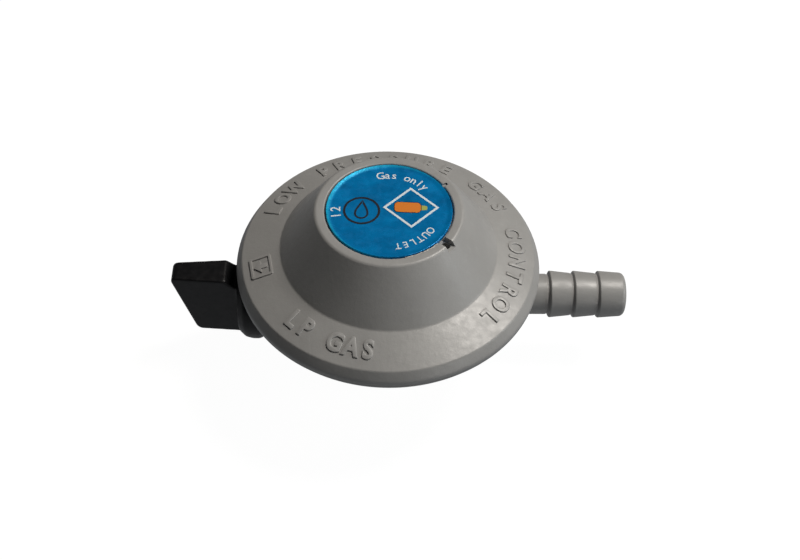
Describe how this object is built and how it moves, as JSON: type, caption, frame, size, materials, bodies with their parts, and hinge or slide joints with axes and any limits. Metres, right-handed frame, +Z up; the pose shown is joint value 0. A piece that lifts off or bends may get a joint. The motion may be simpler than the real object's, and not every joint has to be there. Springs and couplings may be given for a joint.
{
  "type": "gas bottle regulator",
  "caption": "Clip-on low-pressure gas bottle regulator: sloping round housing with a cone top, wing tap knob on one side, ridged hose nozzle on the other and a ball-lock collar below.",
  "frame": {"origin": "centre of the push pin's flat tip, level with the end of the brass inlet nipple", "axes": "+X out along the hose nozzle, +Z up along the diaphragm's axis towards the label, +Y by the right-hand rule"},
  "size_m": [0.1041, 0.068, 0.0457],
  "materials": {
    "cover_paint": "satin grey paint over a die casting",
    "body_paint": "satin grey paint over a die casting",
    "nozzle_paint": "satin grey paint",
    "collar_paint": "satin grey paint",
    "label_foil": "blue printed metal foil",
    "knob_plastic": "moulded black plastic",
    "black_rubber": "matt",
    "turned_brass": "machined",
    "spring_steel": "drawn wire",
    "plated_steel": "zinc plated"
  },
  "bodies": {
    "housing": {"lower_body": "body_paint", "upper_cover": "cover_paint", "label_disc": "label_foil", "spring_adjuster": "turned_brass", "main_spring": "spring_steel", "diaphragm": "black_rubber", "hose_barb": "nozzle_paint", "inlet_nozzle": "turned_brass", "gallery_plug": "turned_brass", "lever_pin": "plated_steel", "spindle_gland": "turned_brass", "inlet_nipple": "turned_brass", "inlet_gasket": "black_rubber", "push_pin_spring": "spring_steel", "collar_spring": "spring_steel", "collar_stop_ring": "plated_steel", "cover_screw_1": "plated_steel", "cover_screw_2": "plated_steel", "cover_screw_3": "plated_steel", "cover_screw_4": "plated_steel", "cover_screw_5": "plated_steel", "cover_screw_6": "plated_steel"},
    "tap": {"tap_knob": "knob_plastic", "tap_spindle": "turned_brass", "spindle_oring": "black_rubber", "knob_pin": "plated_steel"},
    "push_pin": {"push_pin": "turned_brass"},
    "collar": {"release_collar": "collar_paint"},
    "diaphragm_core": {"diaphragm_plate": "plated_steel", "diaphragm_washer": "plated_steel", "diaphragm_stem": "turned_brass"},
    "lever": {"valve_lever": "turned_brass", "seat_pad": "black_rubber"},
    "lock_ball_1": {"lock_ball_1": "plated_steel"},
    "lock_ball_2": {"lock_ball_2": "plated_steel"},
    "lock_ball_3": {"lock_ball_3": "plated_steel"},
    "lock_ball_4": {"lock_ball_4": "plated_steel"},
    "lock_ball_5": {"lock_ball_5": "plated_steel"},
    "lock_ball_6": {"lock_ball_6": "plated_steel"}
  },
  "joints": [
    {"name": "tap_turn", "type": "hinge", "parent": "housing", "child": "tap", "pos_m": [-0.0305, 0, 0.0106], "axis": [1, 0, 0], "range_deg": [0, 90]},
    {"name": "pin_press", "type": "slide", "parent": "housing", "child": "push_pin", "axis": [0, 0, -1], "range_m": [0, 0.0025], "deforming": ["push_pin_spring"]},
    {"name": "collar_lift", "type": "slide", "parent": "housing", "child": "collar", "axis": [0, 0, 1], "range_m": [0, 0.0024], "stiffness_N_per_m": 2500, "springref_m": -0.002, "deforming": ["collar_spring"]},
    {"name": "diaphragm_travel", "type": "slide", "parent": "housing", "child": "diaphragm_core", "axis": [0, 0, 1], "range_m": [-0.001, 0.001], "stiffness_N_per_m": 1500, "deforming": ["main_spring", "diaphragm"]},
    {"name": "lever_rock", "type": "hinge", "parent": "housing", "child": "lever", "pos_m": [0, 0.011, 0.0202], "axis": [1, 0, 0], "range_deg": [-5.3, 5.3]},
    {"name": "ball_1_out", "type": "slide", "parent": "housing", "child": "lock_ball_1", "axis": [0.866, 0.5, 0], "range_m": [0, 0.0006]},
    {"name": "ball_2_out", "type": "slide", "parent": "housing", "child": "lock_ball_2", "axis": [0, 1, 0], "range_m": [0, 0.0006]},
    {"name": "ball_3_out", "type": "slide", "parent": "housing", "child": "lock_ball_3", "axis": [-0.866, 0.5, 0], "range_m": [0, 0.0006]},
    {"name": "ball_4_out", "type": "slide", "parent": "housing", "child": "lock_ball_4", "axis": [-0.866, -0.5, 0], "range_m": [0, 0.0006]},
    {"name": "ball_5_out", "type": "slide", "parent": "housing", "child": "lock_ball_5", "axis": [0, -1, 0], "range_m": [0, 0.0006]},
    {"name": "ball_6_out", "type": "slide", "parent": "housing", "child": "lock_ball_6", "axis": [0.866, -0.5, 0], "range_m": [0, 0.0006]}
  ],
  "couplings": [
    {"joint": "tap_turn", "follows": "pin_press", "rad_per_m": 628.32},
    {"joint": "lever_rock", "follows": "diaphragm_travel", "rad_per_m": -90.909},
    {"joint": "ball_1_out", "follows": "collar_lift", "ratio": 0.25},
    {"joint": "ball_2_out", "follows": "collar_lift", "ratio": 0.25},
    {"joint": "ball_3_out", "follows": "collar_lift", "ratio": 0.25},
    {"joint": "ball_4_out", "follows": "collar_lift", "ratio": 0.25},
    {"joint": "ball_5_out", "follows": "collar_lift", "ratio": 0.25},
    {"joint": "ball_6_out", "follows": "collar_lift", "ratio": 0.25}
  ]
}
